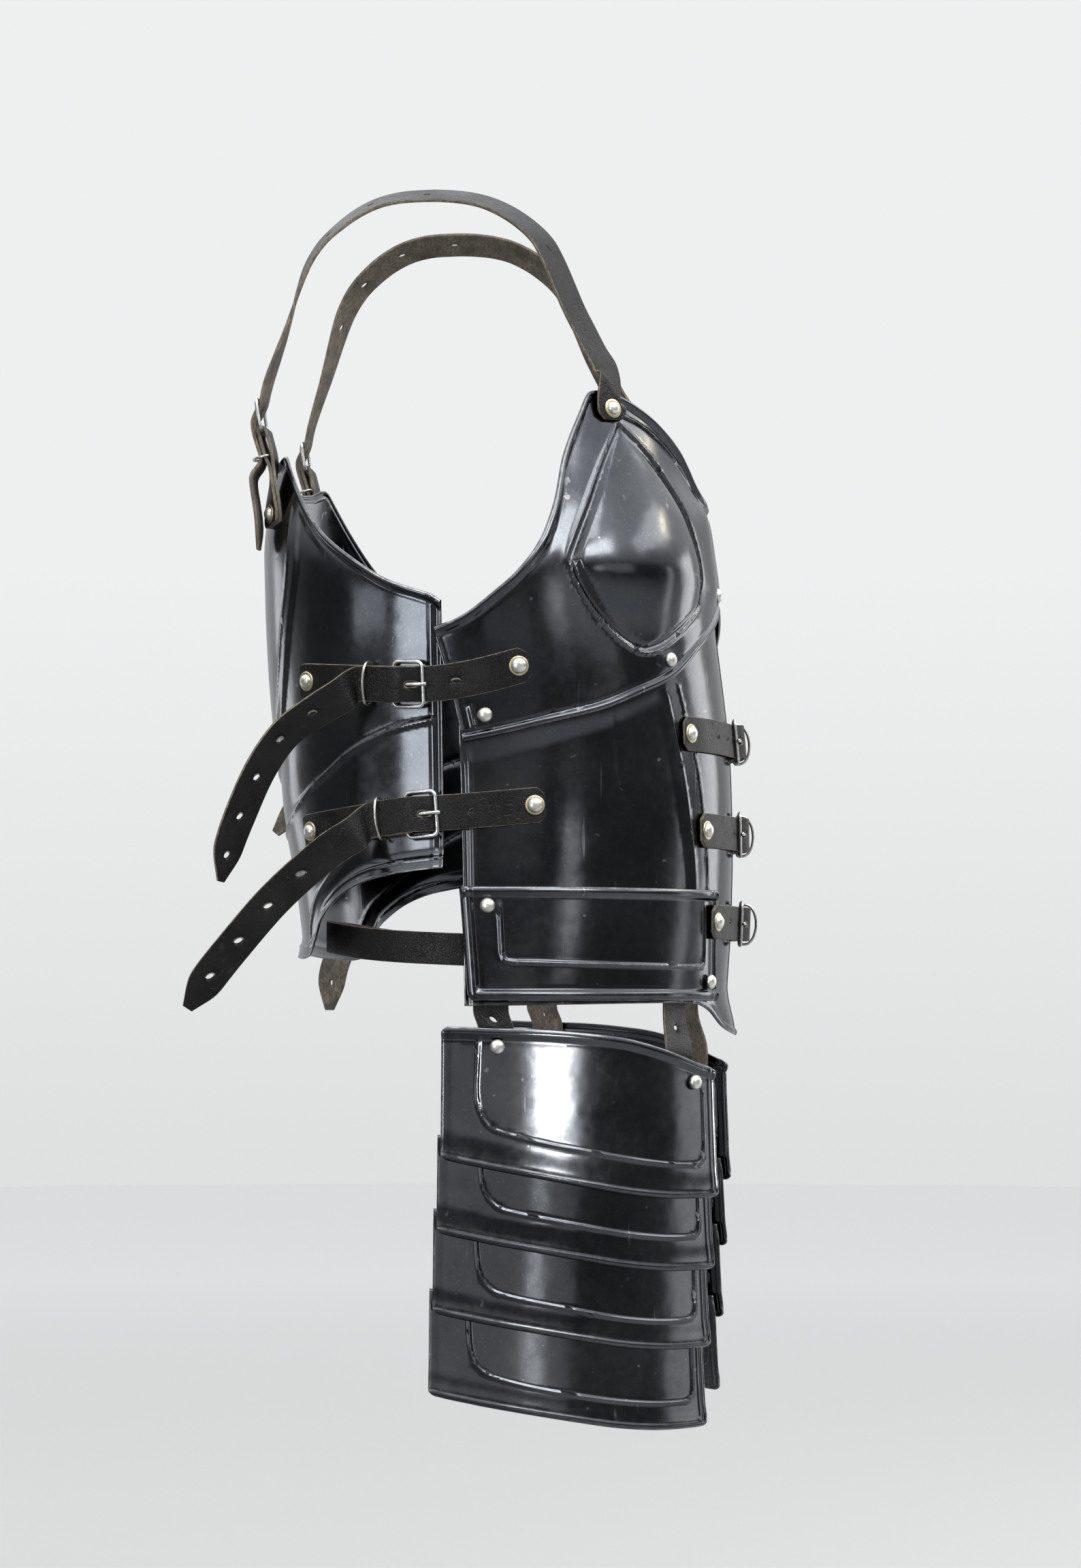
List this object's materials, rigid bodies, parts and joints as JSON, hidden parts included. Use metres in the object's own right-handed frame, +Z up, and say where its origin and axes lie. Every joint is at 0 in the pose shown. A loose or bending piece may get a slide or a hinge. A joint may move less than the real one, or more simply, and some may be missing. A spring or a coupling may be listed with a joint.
{
  "type": "steel cuirass",
  "caption": "Blackened steel cuirass for a lady: cupped breastplate, belly plate, back plate, hip bands and hanging thigh guards joined by buckled leather straps.",
  "frame": {"origin": "on the wearer's middle line, level with the tops of the two shoulder straps", "axes": "+Z up, -Y the front, +X the wearer's left"},
  "size_m": [0.3694, 0.3525, 0.7893],
  "materials": {
    "blackened_steel": "polished blackened steel, worn bright at the edges",
    "black_leather": "grained black leather with paler cut edges",
    "nickel": "dull nickel plate"
  },
  "bodies": {
    "root": {"chest_plate": "blackened_steel", "belly_plate": "blackened_steel", "hip_band_right": "blackened_steel", "hip_band_left": "blackened_steel", "back_plate": "blackened_steel", "lame_right_1": "blackened_steel", "lame_right_2": "blackened_steel", "lame_right_3": "blackened_steel", "lame_right_4": "blackened_steel", "lame_left_1": "blackened_steel", "lame_left_2": "blackened_steel", "lame_left_3": "blackened_steel", "lame_left_4": "blackened_steel", "hanger_right_back": "black_leather", "hanger_right_front": "black_leather", "hanger_left_back": "black_leather", "hanger_left_front": "black_leather", "waist_belt": "black_leather", "strap_side_right_upper": "black_leather", "chape_side_right_upper": "black_leather", "strap_side_right_lower": "black_leather", "chape_side_right_lower": "black_leather", "strap_side_left_upper": "black_leather", "chape_side_left_upper": "black_leather", "strap_side_left_lower": "black_leather", "chape_side_left_lower": "black_leather", "strap_belly_upper": "black_leather", "chape_belly_upper": "black_leather", "strap_belly_middle": "black_leather", "chape_belly_middle": "black_leather", "strap_belly_lower": "black_leather", "chape_belly_lower": "black_leather", "strap_shoulder_right": "black_leather", "chape_shoulder_right": "black_leather", "strap_shoulder_left": "black_leather", "chape_shoulder_left": "black_leather", "buckle_side_right_upper": "nickel", "ring_side_right_upper": "nickel", "buckle_side_right_lower": "nickel", "ring_side_right_lower": "nickel", "buckle_side_left_upper": "nickel", "ring_side_left_upper": "nickel", "buckle_side_left_lower": "nickel", "ring_side_left_lower": "nickel", "buckle_belly_upper": "nickel", "ring_belly_upper": "nickel", "buckle_belly_middle": "nickel", "ring_belly_middle": "nickel", "buckle_belly_lower": "nickel", "ring_belly_lower": "nickel", "buckle_shoulder_right": "nickel", "ring_shoulder_right": "nickel", "buckle_shoulder_left": "nickel", "ring_shoulder_left": "nickel"}
  },
  "joints": []
}
